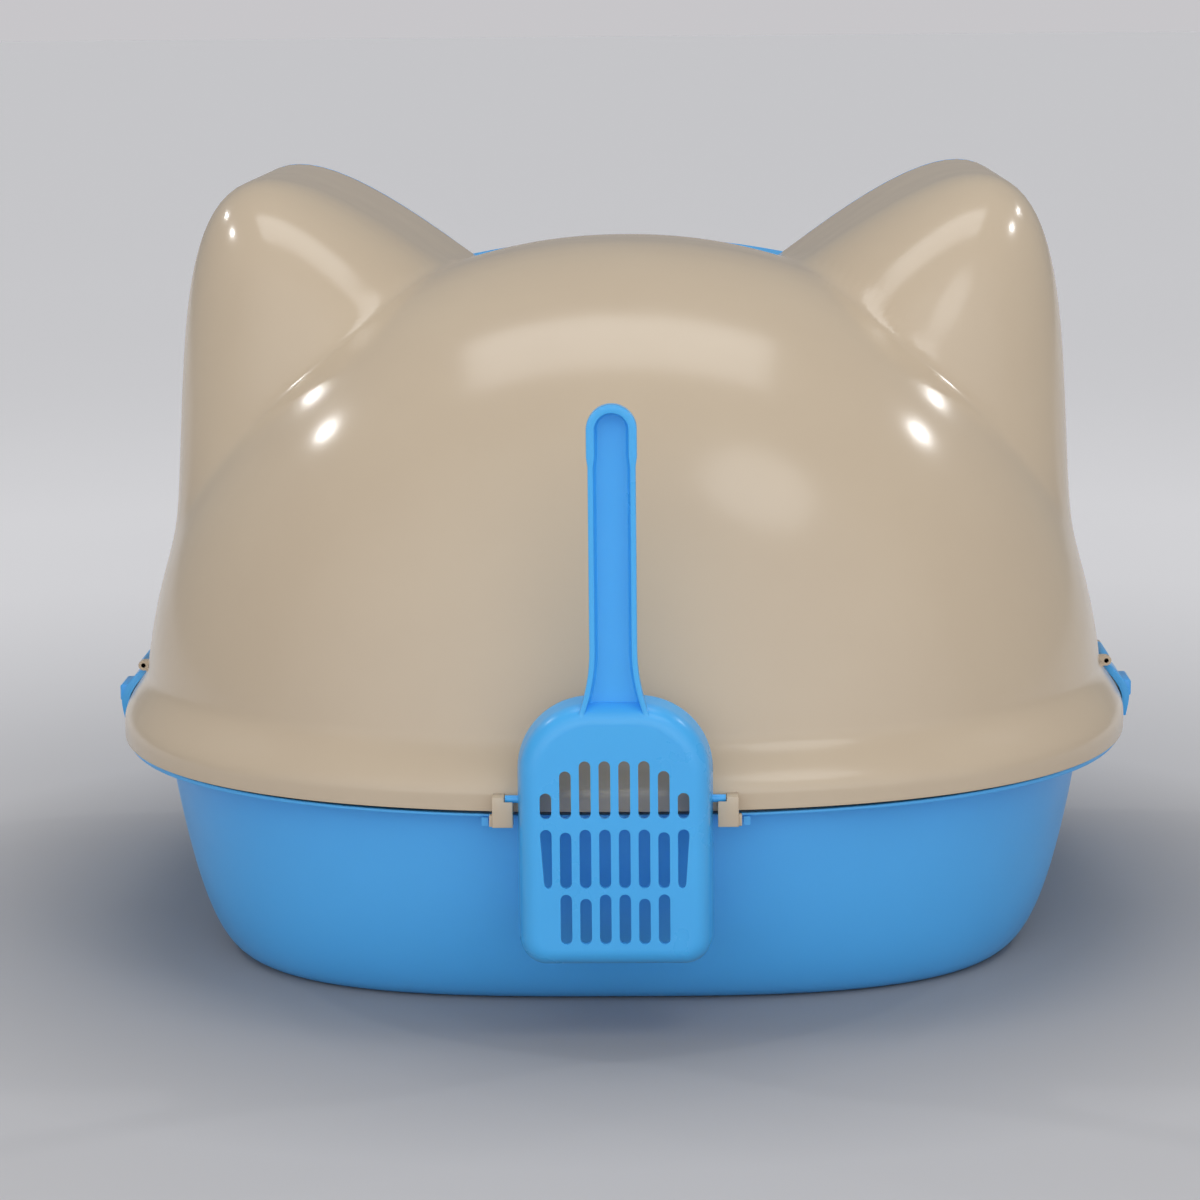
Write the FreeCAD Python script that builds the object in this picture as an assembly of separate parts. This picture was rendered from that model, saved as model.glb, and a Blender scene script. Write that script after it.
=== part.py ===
import FreeCAD, Part
import math
import os

# Cat litter box with a cat-head hood.  Millimetres, +Z up, floor at Z = 0 under the
# middle of the tray.  X is the width, the entrance faces -Y and the scoop hangs at +Y.

CUT = 1.0                # how far a cutting tool runs past the faces that it cuts
FAR = 500.0              # beyond every piece
STEPS = 72               # points round a closed plan curve
PIN_FIT = 0.05           # radial running fit of every pin

# ---- dome of the hood ---------------------------------------------------------------
HOOD_WALL = 3.0
DOME_HALF = 247.0        # half width of the dome at its foot
DOME_HEIGHT = 245.0      # dome above its foot
DOME_BACK = 228.0        # middle of the dome to its back
DOME_TAPER = 580.0       # slow narrowing towards the front
DOME_SQUARE = 2.1        # section exponent, 2 is an ellipse
DOME_SHARES = (0.993, 0.978, 0.95, 0.9, 0.82, 0.7, 0.55, 0.36, 0.18)    # sections behind the middle
DOME_FRONT_SECTIONS = 5
PLAN_BACK_SQUARE = 2.4   # plan exponent behind the middle
PLAN_FRONT_SQUARE = 6.0  # plan exponent in front of the middle, nearly straight
FACE_Y = -205.0          # cut front of the dome
FACE_RUN = 10.0          # the sections run on this far past the cut

# ---- skirt and shoulder -------------------------------------------------------------
FLARE_SIDE = 11.0        # skirt outside the dome's foot, at each side
FLARE_BACK = 16.0
FLARE_FRONT = 23.0       # skirt in front of the cut face
SKIRT_TALL = 7.0         # upright part of the skirt
SHOULDER_TALL = 25.0     # S-curve from the skirt up to the dome
SHOULDER_SINK = 1.5      # the shoulder's top ends this far inside the dome
FOOT_LEVELS = 12
FOOT_RUN = 5.0           # the foot is lofted from this far below the hood and cut back
SKIRT_HALF = DOME_HALF + FLARE_SIDE
SKIRT_BACK = DOME_BACK + FLARE_BACK
SKIRT_FRONT = FLARE_FRONT - FACE_Y

# ---- tray -----------------------------------------------------------------------------
RIM_Z = 102.7            # top of the rim that the hood rests on
RIM_THICK = 3.0
RIM_INSET = 2.0          # rim edge inside the hood's skirt, on plan
TRAY_WALL = 3.0          # wall and floor of the tray
RIM_SIDE = 22.0          # tray wall inside the skirt, at each side
RIM_BACK = 12.0
RIM_FRONT = 14.0
DRAFT_SIDE = 41.0        # foot print inside the top of the wall, at each side
DRAFT_BACK = 45.0
DRAFT_FRONT = 38.0
WALL_BULGE = 0.42        # power law of the bowl-like wall, 1 would be a straight cone
BASE_SQUARE = 3.2        # plan exponent of the foot print behind the middle
BOWL_SHARES = (0.0, 0.02, 0.06, 0.13, 0.25, 0.42, 0.62, 0.82, 1.0)      # levels of the bowl
WALL_HALF = SKIRT_HALF - RIM_SIDE
WALL_BACK = SKIRT_BACK - RIM_BACK
WALL_FRONT = SKIRT_FRONT - RIM_FRONT
REST_GAP = 0.3           # hood's skirt above the rim
HOOD_Z = RIM_Z + REST_GAP
SHOULDER_TOP_Z = HOOD_Z + SKIRT_TALL + SHOULDER_TALL

# ---- ears -----------------------------------------------------------------------------
EAR_INSET = 16.0         # outer side of an ear inside the dome's side
EAR_RISE = 51.0          # flat top limit of an ear above the dome
EAR_SLOPE_OFF = 116.5    # inner slope, distance from the dome's middle line
EAR_SLOPE = 40.0         # degrees
EAR_ROUND = 7.0          # how sharply the three sides meet
EAR_BACK_START = -40.0   # where the ear starts to fall towards the back
EAR_BACK_REACH = 147.0   # length of that fall
EAR_BACK_END = 100.0     # last section, inside the dome
EAR_BACK_SQUARE = 2.4
EAR_BACK_LEAST = 0.05
EAR_LEAN = 0.5           # the back of the ear leans forward as it rises
EAR_LEAN_R = 240.0       # radius that the lean is measured at
EAR_LEAN_Z = 165.0       # height above the dome's foot where the lean is nothing
EAR_SECTIONS = 15
EAR_LOW_ANGLE = 8.0      # a section's arc starts and ends here, degrees from the side
EAR_HIGH_ANGLE = 78.0
EAR_POINTS = 36
EAR_ROOT = 60.0          # inner corner of a section, deep inside the dome
EAR_HALF = DOME_HALF - EAR_INSET
EAR_TOP = DOME_HEIGHT + EAR_RISE

# ---- front panel and flap ---------------------------------------------------------------
FACE_TOP_Z = HOOD_Z + DOME_HEIGHT * math.sqrt(1 - (FACE_Y / DOME_TAPER) ** 2)
PANEL_THICK = 3.0
PANEL_ARCH_RISE = 3.1    # low arch between the ears, above the dome's front edge
PANEL_ARCH_R = 450.0
PANEL_ARCH_HALF = 130.0
PANEL_FOOT_LIFT = 1.0    # panel above the skirt's shoulder
COLLAR_DEEP = 10.0       # collar that plugs into the hood
COLLAR_THICK = 2.0
COLLAR_GAP = 0.3
DOOR_HALF = 105.0        # entrance half width
DOOR_SILL = 17.0         # entrance foot above the shoulder
DOOR_HEAD = 34.2         # entrance top below the dome's front edge
DOOR_FOOT_ROUND = 42.0
DOOR_TOP_ROUND = 10.0
FLAP_GAP = 3.0
FLAP_THICK = 2.0
BARREL_R = 4.0
ROD_R = 1.6
ROD_BITE = 12.0          # rod beyond the entrance at each end
LUG_LONG = 8.0
LUG_WALL = 3.0
LUG_SIDE = 1.0           # lug beside the entrance
PULL_HALF = 30.0         # finger pull near the flap's foot
PULL_LIFT = 14.0
PULL_TALL = 6.0
PULL_OUT = 3.0
DOOR_FOOT_Z = SHOULDER_TOP_Z + DOOR_SILL
DOOR_TOP_Z = FACE_TOP_Z - DOOR_HEAD
AXIS_Z = DOOR_TOP_Z - BARREL_R - FLAP_GAP / 2
AXIS_Y = FACE_Y - PANEL_THICK / 2
ROD_HALF = DOOR_HALF + ROD_BITE

# ---- side latches -------------------------------------------------------------------------
LATCH_WIDE = 36.0
LATCH_THICK = 2.0
LATCH_GAP = 0.7          # plate off the hood's shoulder
LATCH_BULGE = 2.0        # extra thickness halfway up the plate
LATCH_POINTS = 12
LATCH_PIN_R = 1.2
LATCH_BARREL_R = 2.6
LATCH_PIN_OUT = 4.5      # pin axis outside the hood's wall
LATCH_PIN_UP = 28.0      # pin above the hood's foot
LATCH_DOWN = 2.0         # plate's foot below the hood's foot
KNOB_OUT = 3.4
KNOB_IN = 2.0            # knob's root inside the plate
KNOB_TALL = 8.5
KNOB_WIDE = 24.0
KNOB_UP = 11.5           # knob's middle above the hood's foot
KNOB_ROUND = 1.5
HOLDER_WIDE = 5.0
HOLDER_R = 2.6
HOLDER_GAP = 0.4
HOLDER_ROOT = 2.0        # holder inside the hood's wall
LATCH_PIN_Z = HOOD_Z + LATCH_PIN_UP
LATCH_FOOT_Z = HOOD_Z - LATCH_DOWN
KNOB_Z = HOOD_Z + KNOB_UP

# ---- scoop ----------------------------------------------------------------------------------
SCOOP_HALF = 44.8
SCOOP_UP = 55.2          # top of the blade above the hood's foot
SCOOP_LONG = 124.2       # blade length
SCOOP_WALL = 2.2
SCOOP_DEEP = 21.0
SCOOP_DRAFT = 3.0        # blade's face inside its rim, all round
SCOOP_SHOULDER_ROUND = 34.0
SCOOP_FOOT_ROUND = 13.0
SCOOP_GAP = 2.0          # scoop rim behind the skirt
PEG_R = 1.8              # side pegs that the scoop hangs by
PEG_Y = 2.5              # peg's middle from the blade's rim
PEG_ROOT = 1.5           # peg inside the blade's side
PEG_GAP = 0.4            # peg's end in its notch
HANG_GAP = 0.3           # peg above the notch's floor
HANDLE_HALF = 10.8
HANDLE_LONG = 134.8
HANDLE_DEEP = 12.0
HANDLE_FACE_IN = 2.0     # handle's rim inside the blade's face
HANDLE_ROOT = 14.0       # handle's foot below the blade's top
HANDLE_FOOT_ROUND = 2.0
HANDLE_GRIP_UP = 2.0     # channel's lower end above the blade
HANDLE_BRIDGE = 4.0      # blade thickness kept under the handle's foot
SLOT_WIDE = 5.3
SLOT_PITCH = 8.95
SLOT_TOOL = 8.0          # cutting tool inside the face
# rows of slots above the blade's foot: the lower end, then the upper ends from the middle out
SLOT_ROWS = ((71.0, (97.8, 97.8, 93.2, 83.0)),
             (38.6, (66.1, 66.1, 64.8, 66.1)),
             (12.4, (35.8, 33.8, 35.8)))
SCOOP_TOP_Z = HOOD_Z + SCOOP_UP
SCOOP_FOOT_Z = SCOOP_TOP_Z - SCOOP_LONG
HANDLE_TOP_Z = SCOOP_TOP_Z + HANDLE_LONG

# ---- rear clips and the ribs beside them ------------------------------------------------------
CLIP_SIDE_GAP = 2.2      # clip beside the scoop
CLIP_WIDE = 9.5
CLIP_DOWN = 5.5          # clip below the hood's foot
CLIP_UP = 8.5            # clip above it
CLIP_OUT = 8.0           # clip beyond the skirt's back
CLIP_SINK = 1.2          # clip behind the skirt's surface before it is cut to it
CLIP_RIM_GAP = 0.6       # hanging part off the rim
CLIP_LIFT = 0.2
NOTCH_WIDE = 4.0         # notch in the inner top edge, for the scoop's peg
NOTCH_DEEP = 3.3
NOTCH_WALL = 1.2         # low wall that keeps the peg in
NOTCH_WALL_DOWN = 2.1    # top of that wall below the clip's top
LIP_OUT = 1.5            # small lip under the clip's outer side
LIP_TALL = 5.0
LIP_BACK = 2.0
RIB_SIDE_GAP = 2.5       # tray's rib beside the clip
RIB_WIDE = 3.0
RIB_TALL = 4.0
RIB_IN = 14.0            # rib's inner end inside the skirt's back
RIB_OUT = 4.0            # rib's outer end inside the skirt's back
CLIP_IN = SCOOP_HALF + CLIP_SIDE_GAP
CLIP_FOOT_Z = HOOD_Z - CLIP_DOWN
CLIP_TOP_Z = HOOD_Z + CLIP_UP
SCOOP_Y = SKIRT_BACK + SCOOP_GAP
PEG_Z = CLIP_TOP_Z - NOTCH_DEEP + HANG_GAP + PEG_R

V = FreeCAD.Vector

def power_radius(angle, half, tall, square):
    """Radius of a superellipse with the given half sizes at an angle."""
    across = abs(math.cos(angle)) / half
    along = abs(math.sin(angle)) / tall
    return (across ** square + along ** square) ** (-1.0 / square)


def plan_wire(z, half, back, front, back_square=PLAN_BACK_SQUARE):
    """Closed plan curve, rounder behind the middle than in front of it."""
    points = []
    for k in range(STEPS):
        a = 2 * math.pi * k / STEPS
        if math.sin(a) >= 0:
            r = power_radius(a, half, back, back_square)
        else:
            r = power_radius(a, half, front, PLAN_FRONT_SQUARE)
        points.append(V(r * math.cos(a), r * math.sin(a), z))
    curve = Part.BSplineCurve()
    curve.interpolate(Points=points, PeriodicFlag=True)
    return Part.Wire(curve.toShape())


def loft(wires):
    return Part.makeLoft(wires, True, False)


def box(x0, x1, y0, y1, z0, z1):
    return Part.makeBox(x1 - x0, y1 - y0, z1 - z0, V(x0, y0, z0))


def extrude(wire, vector):
    return Part.Face(wire).extrude(vector)


def rounded_rect(x0, x1, z0, z1, foot_round, top_round, y):
    """Upright rounded rectangle in the plane Y = y."""
    def corner(cx, cz, r, start):
        a = [math.radians(start + t) for t in (0, 45, 90)]
        p = [V(cx + r * math.cos(t), y, cz + r * math.sin(t)) for t in a]
        return p
    arcs = [corner(x1 - top_round, z1 - top_round, top_round, 0),
            corner(x0 + top_round, z1 - top_round, top_round, 90),
            corner(x0 + foot_round, z0 + foot_round, foot_round, 180),
            corner(x1 - foot_round, z0 + foot_round, foot_round, 270)]
    edges = []
    for k, arc in enumerate(arcs):
        edges.append(Part.Arc(*arc).toShape())
        edges.append(Part.LineSegment(arc[2], arcs[(k + 1) % 4][0]).toShape())
    return Part.Wire(edges)


def polygon_xz(points, y):
    return Part.makePolygon([V(x, y, z) for x, z in points + points[:1]])


def mirrored(shape):
    return shape.mirror(V(0, 0, 0), V(1, 0, 0))


# ---- dome and ears, as radii about the line X = 0, Z = HOOD_Z ----------------------
def dome_size(y, wall):
    """Half width and height of the dome's section at y, with the wall taken off."""
    half, tall = DOME_HALF - wall, DOME_HEIGHT - wall
    if y >= 0:
        t = y / (DOME_BACK - wall)
        width = half * (1 - t ** PLAN_BACK_SQUARE) ** (1 / PLAN_BACK_SQUARE)
    else:
        t = -y / DOME_TAPER
        width = half * math.sqrt(1 - t * t)
    return width, tall * math.sqrt(1 - t * t)


def dome_section(y, wall):
    half, tall = dome_size(y, wall)
    points = []
    for k in range(STEPS // 2 + 1):
        a = math.pi * k / (STEPS // 2)
        r = power_radius(a, half, tall, DOME_SQUARE)
        points.append(V(r * math.cos(a), y, HOOD_Z + r * math.sin(a)))
    curve = Part.BSplineCurve()
    curve.interpolate(Points=points)
    return Part.Wire([curve.toShape(), Part.LineSegment(points[-1], points[0]).toShape()])


def dome(wall):
    """Dome solid from in front of the face plane to the back."""
    back = DOME_BACK - wall
    stations = [back * s for s in DOME_SHARES]
    stations += [(FACE_Y - FACE_RUN) * k / DOME_FRONT_SECTIONS for k in range(DOME_FRONT_SECTIONS + 1)]
    return loft([dome_section(y, wall) for y in stations])


def ear_radius(angle, y, wall):
    slope = math.radians(EAR_SLOPE)
    sides = (math.cos(angle) / (EAR_HALF - wall),
             math.sin(angle - slope) / (EAR_SLOPE_OFF - wall),
             math.sin(angle) / (EAR_TOP - wall))
    r = sum(max(s, 0.0) ** EAR_ROUND for s in sides) ** (-1.0 / EAR_ROUND)
    back = y + wall + EAR_LEAN * (EAR_LEAN_R * math.sin(angle) - EAR_LEAN_Z)
    t = max(0.0, (back - EAR_BACK_START) / EAR_BACK_REACH)
    return r * max(EAR_BACK_LEAST, 1 - t ** EAR_BACK_SQUARE) ** (1 / EAR_BACK_SQUARE)


def ear_section(y, wall):
    points = []
    for k in range(EAR_POINTS + 1):
        a = math.radians(EAR_LOW_ANGLE + (EAR_HIGH_ANGLE - EAR_LOW_ANGLE) * k / EAR_POINTS)
        r = ear_radius(a, y, wall)
        points.append(V(r * math.cos(a), y, HOOD_Z + r * math.sin(a)))
    curve = Part.BSplineCurve()
    curve.interpolate(Points=points)
    root = V(EAR_ROOT, y, HOOD_Z + EAR_ROOT)
    return Part.Wire([curve.toShape(), Part.LineSegment(points[-1], root).toShape(),
                      Part.LineSegment(root, points[0]).toShape()])


def ear(wall):
    front = FACE_Y - FACE_RUN
    stations = [front + (EAR_BACK_END - front) * k / EAR_SECTIONS for k in range(EAR_SECTIONS + 1)]
    return loft([ear_section(y, wall) for y in stations])


def head(wall):
    """Dome with both ears, shrunk by a wall."""
    side = ear(wall)
    return dome(wall).fuse([side, mirrored(side)])


def shoulder(z):
    """0 on the dome, 1 on the skirt: the S-curve that flares the hood's foot."""
    t = (z - HOOD_Z - SKIRT_TALL) / SHOULDER_TALL
    t = min(1.0, max(0.0, t))
    return 1 - t * t * (3 - 2 * t)


def foot_size(z):
    """Half width, back and front of the hood's foot at a height."""
    rise = max(0.0, z - HOOD_Z) / DOME_HEIGHT
    dome_half = DOME_HALF * (1 - rise ** DOME_SQUARE) ** (1 / DOME_SQUARE)
    dome_back = DOME_BACK * math.sqrt(1 - rise * rise)
    dome_front = -FACE_Y + HOOD_WALL
    s = shoulder(z)
    sink = SHOULDER_SINK * (1 - s)
    return (dome_half + s * (SKIRT_HALF - dome_half) - sink,
            dome_back + s * (SKIRT_BACK - dome_back) - sink,
            dome_front + s * (SKIRT_FRONT - dome_front) - sink)


def foot(wall, top):
    """Skirt and shoulder as one solid up to the height top."""
    wires = []
    low = HOOD_Z - FOOT_RUN
    for k in range(FOOT_LEVELS + 1):
        z = low + (top - low) * k / FOOT_LEVELS
        half, back, front = foot_size(z + wall)
        wires.append(plan_wire(z, half - wall, back - wall, front - wall))
    return loft(wires)


HEAD = head(0)
FOOT = foot(0, SHOULDER_TOP_Z)


def make_hood():
    outer = HEAD.common(box(-FAR, FAR, FACE_Y, FAR, 0, FAR))
    outer = outer.fuse(FOOT).common(box(-FAR, FAR, -FAR, FAR, HOOD_Z, FAR))
    # the head's hollow runs out of the open front above the shoulder only
    room = box(-FAR, FAR, FACE_Y + HOOD_WALL, FAR, 0, FAR)
    room = room.fuse(box(-FAR, FAR, FACE_Y - CUT, 0, SHOULDER_TOP_Z, FAR))
    hollow = head(HOOD_WALL).common(room)
    hollow = hollow.fuse(foot(HOOD_WALL, SHOULDER_TOP_Z - HOOD_WALL))
    hood = outer.cut(hollow)
    for side in (1, -1):
        for holder in latch_holders(side):
            hood = hood.fuse(holder)
        hood = hood.cut(latch_pin_hole(side))
    return hood


# ---- tray -------------------------------------------------------------------------
def wall_size(share):
    """Half width, back, front and plan exponent of the tray's wall at a share of its height."""
    t = share ** WALL_BULGE
    return (WALL_HALF - DRAFT_SIDE * (1 - t), WALL_BACK - DRAFT_BACK * (1 - t),
            WALL_FRONT - DRAFT_FRONT * (1 - t), BASE_SQUARE + t * (PLAN_BACK_SQUARE - BASE_SQUARE))


def bowl(wall, top):
    """Bowl solid with a flat floor, shrunk by the wall all round and raised by it."""
    wires = []
    for share in BOWL_SHARES:
        half, back, front, square = wall_size(share)
        wires.append(plan_wire(wall + (top - wall) * share, half - wall, back - wall, front - wall,
                               square))
    return loft(wires)


def make_tray():
    under = RIM_Z - RIM_THICK
    flange = extrude(plan_wire(under, SKIRT_HALF - RIM_INSET, SKIRT_BACK - RIM_INSET,
                               SKIRT_FRONT - RIM_INSET), V(0, 0, RIM_THICK))
    mouth = extrude(plan_wire(under - CUT, WALL_HALF - TRAY_WALL, WALL_BACK - TRAY_WALL,
                              WALL_FRONT - TRAY_WALL), V(0, 0, RIM_THICK + 2 * CUT))
    tray = bowl(0, under + CUT).fuse(flange)
    rib_x = CLIP_IN + CLIP_WIDE + RIB_SIDE_GAP
    for x in (rib_x, -rib_x - RIB_WIDE):
        tray = tray.fuse(box(x, x + RIB_WIDE, SKIRT_BACK - RIB_IN, SKIRT_BACK - RIB_OUT,
                             under - RIB_TALL, under + CUT))
    return tray.cut(bowl(TRAY_WALL, under)).cut(mouth)


# ---- front panel, flap and its rod -------------------------------------------------
def face_outline(wall, y0, depth):
    """The hood's front outline as a solid, shrunk by a wall."""
    block = HEAD if wall == 0 else head(wall)
    return block.common(box(-FAR, FAR, y0, y0 + depth, SHOULDER_TOP_Z + PANEL_FOOT_LIFT, FAR))


def door_wire(gap, y):
    return rounded_rect(-DOOR_HALF + gap, DOOR_HALF - gap, DOOR_FOOT_Z + gap, DOOR_TOP_Z - gap,
                        DOOR_FOOT_ROUND - gap, DOOR_TOP_ROUND - gap, y)


def make_front_panel():
    front = FACE_Y - PANEL_THICK
    plate = face_outline(0, front, PANEL_THICK)
    arch_top = FACE_TOP_Z + PANEL_ARCH_RISE
    arch = Part.makeCylinder(PANEL_ARCH_R, PANEL_THICK, V(0, front, arch_top - PANEL_ARCH_R),
                             V(0, 1, 0))
    plate = plate.fuse(arch.common(box(-PANEL_ARCH_HALF, PANEL_ARCH_HALF, front, FACE_Y,
                                       SHOULDER_TOP_Z + PANEL_FOOT_LIFT, FAR)))
    collar = face_outline(HOOD_WALL + COLLAR_GAP, FACE_Y, COLLAR_DEEP)
    collar = collar.cut(face_outline(HOOD_WALL + COLLAR_GAP + COLLAR_THICK, FACE_Y, COLLAR_DEEP))
    panel = plate.fuse(collar)
    panel = panel.cut(extrude(door_wire(0, front - CUT), V(0, PANEL_THICK + 2 * CUT, 0)))
    lug_r = ROD_R + LUG_WALL
    for side in (1, -1):
        x = side * (DOOR_HALF + LUG_SIDE + LUG_LONG / 2)
        lug = box(x - LUG_LONG / 2, x + LUG_LONG / 2, front, AXIS_Y + lug_r, AXIS_Z - lug_r,
                  AXIS_Z + lug_r)
        panel = panel.fuse(lug)
    hole = Part.makeCylinder(ROD_R + PIN_FIT, 2 * (ROD_HALF + CUT),
                             V(-ROD_HALF - CUT, AXIS_Y, AXIS_Z), V(1, 0, 0))
    return panel.cut(hole)


def make_flap():
    face = AXIS_Y - FLAP_THICK / 2
    sheet = extrude(door_wire(FLAP_GAP, face), V(0, FLAP_THICK, 0))
    sheet = sheet.common(box(-FAR, FAR, -FAR, FAR, 0, AXIS_Z))
    # the barrel ends before the entrance's rounded corners start
    half = DOOR_HALF - max(FLAP_GAP, DOOR_TOP_ROUND)
    barrel = Part.makeCylinder(BARREL_R, 2 * half, V(-half, AXIS_Y, AXIS_Z), V(1, 0, 0))
    bore = Part.makeCylinder(ROD_R + PIN_FIT, 2 * DOOR_HALF, V(-DOOR_HALF, AXIS_Y, AXIS_Z), V(1, 0, 0))
    pull_z = DOOR_FOOT_Z + PULL_LIFT
    pull = rounded_rect(-PULL_HALF, PULL_HALF, pull_z, pull_z + PULL_TALL, 0.48 * PULL_TALL,
                        0.48 * PULL_TALL, face - PULL_OUT)
    return sheet.fuse(barrel).fuse(extrude(pull, V(0, FLAP_THICK + PULL_OUT, 0))).cut(bore)


def make_rod():
    return Part.makeCylinder(ROD_R, 2 * ROD_HALF, V(-ROD_HALF, AXIS_Y, AXIS_Z), V(1, 0, 0))


# ---- side latches ------------------------------------------------------------------
def latch_axis_x():
    return foot_size(LATCH_PIN_Z)[0] + LATCH_PIN_OUT


def latch_profile(gap, thick, z_low, z_high):
    """Strip that follows the hood's shoulder, as (x, z) points."""
    def edge(off, bulge):
        points = []
        for k in range(LATCH_POINTS + 1):
            z = z_low + (z_high - z_low) * k / LATCH_POINTS
            slope = foot_size(z + 0.5)[0] - foot_size(z - 0.5)[0]
            size = math.hypot(1.0, slope)
            out = (off + bulge * math.sin(math.pi * k / LATCH_POINTS)) / size
            points.append((foot_size(z)[0] + out, z - out * slope))
        return points
    return edge(gap, 0) + edge(gap + thick, LATCH_BULGE)[::-1]


def make_latch(side):
    half = LATCH_WIDE / 2
    axis = latch_axis_x()
    profile = latch_profile(LATCH_GAP, LATCH_THICK, LATCH_FOOT_Z, LATCH_PIN_Z - LATCH_PIN_R)
    strip = extrude(polygon_xz(profile, -half), V(0, LATCH_WIDE, 0))
    barrel = Part.makeCylinder(LATCH_BARREL_R, LATCH_WIDE, V(axis, -half, LATCH_PIN_Z), V(0, 1, 0))
    out = SKIRT_HALF + LATCH_GAP + LATCH_THICK
    knob = box(out - KNOB_IN, out + KNOB_OUT, -KNOB_WIDE / 2, KNOB_WIDE / 2, KNOB_Z - KNOB_TALL / 2,
               KNOB_Z + KNOB_TALL / 2)
    knob = knob.makeFillet(KNOB_ROUND, [e for e in knob.Edges if e.BoundBox.XMin > out])
    hole = Part.makeCylinder(LATCH_PIN_R + PIN_FIT, LATCH_WIDE + 2 * CUT,
                             V(axis, -half - CUT, LATCH_PIN_Z), V(0, 1, 0))
    latch = strip.fuse([barrel, knob]).cut(hole)
    return latch if side > 0 else mirrored(latch)


def latch_pin_half():
    return LATCH_WIDE / 2 + HOLDER_GAP + HOLDER_WIDE


def make_latch_pin(side):
    half = latch_pin_half()
    pin = Part.makeCylinder(LATCH_PIN_R, 2 * half, V(latch_axis_x(), -half, LATCH_PIN_Z), V(0, 1, 0))
    return pin if side > 0 else mirrored(pin)


def latch_holders(side):
    """Two ears on the hood that carry the latch pin."""
    axis = latch_axis_x()
    holders = []
    for end in (1, -1):
        y0 = end * (LATCH_WIDE / 2 + HOLDER_GAP)
        y1 = end * latch_pin_half()
        low, high = min(y0, y1), max(y0, y1)
        block = box(foot_size(LATCH_PIN_Z)[0] - HOLDER_ROOT, axis, low, high,
                    LATCH_PIN_Z - HOLDER_R, LATCH_PIN_Z + HOLDER_R)
        nose = Part.makeCylinder(HOLDER_R, HOLDER_WIDE, V(axis, low, LATCH_PIN_Z), V(0, 1, 0))
        holder = block.fuse(nose)
        holders.append(holder if side > 0 else mirrored(holder))
    return holders


def latch_pin_hole(side):
    half = latch_pin_half() + CUT
    hole = Part.makeCylinder(LATCH_PIN_R, 2 * half, V(latch_axis_x(), -half, LATCH_PIN_Z), V(0, 1, 0))
    return hole if side > 0 else mirrored(hole)


# ---- rear clips --------------------------------------------------
def skirt_back_at(x):
    return SKIRT_BACK * (1 - (abs(x) / SKIRT_HALF) ** PLAN_BACK_SQUARE) ** (1 / PLAN_BACK_SQUARE)


def make_clip(side):
    """Block on the skirt with a notch for the scoop's peg and a lip under its outer side."""
    out_x = CLIP_IN + CLIP_WIDE
    back = SKIRT_BACK + CLIP_OUT
    hang_y = SKIRT_BACK + CLIP_RIM_GAP
    block = box(CLIP_IN, out_x, skirt_back_at(out_x) - CLIP_SINK, back, HOOD_Z + CLIP_LIFT, CLIP_TOP_Z)
    hang = box(CLIP_IN, out_x, hang_y, back, CLIP_FOOT_Z, HOOD_Z + CLIP_LIFT + CUT)
    lip = box(out_x - CUT, out_x + LIP_OUT, hang_y, back - LIP_BACK, CLIP_FOOT_Z,
              CLIP_FOOT_Z + LIP_TALL)
    notch = box(CLIP_IN - CUT, CLIP_IN + NOTCH_WIDE, 0, back - NOTCH_WALL, CLIP_TOP_Z - NOTCH_DEEP,
                CLIP_TOP_Z + CUT)
    wall_top = box(CLIP_IN - CUT, CLIP_IN + NOTCH_WIDE, back - NOTCH_WALL - CUT, back + CUT,
                   CLIP_TOP_Z - NOTCH_WALL_DOWN, CLIP_TOP_Z + CUT)
    clip = block.fuse([hang, lip]).cut(notch).cut(wall_top).cut(FOOT)
    return clip if side > 0 else mirrored(clip)


# ---- scoop --------------------------------------------------------------------------
def blade_wire(inset, y):
    return rounded_rect(-SCOOP_HALF + inset, SCOOP_HALF - inset, SCOOP_FOOT_Z + inset,
                        SCOOP_TOP_Z - inset, SCOOP_FOOT_ROUND - inset / 2,
                        SCOOP_SHOULDER_ROUND - inset / 2, y)


def blade(inset, y0, y1):
    return loft([blade_wire(inset, y0), blade_wire(inset + SCOOP_DRAFT, y1)])


def slot(x, z0, z1):
    r = SLOT_WIDE / 2
    outline = rounded_rect(x - r, x + r, z0, z1, r - PIN_FIT, r - PIN_FIT,
                           SCOOP_Y + SCOOP_DEEP - SLOT_TOOL)
    return extrude(outline, V(0, SLOT_TOOL + CUT, 0))


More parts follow.
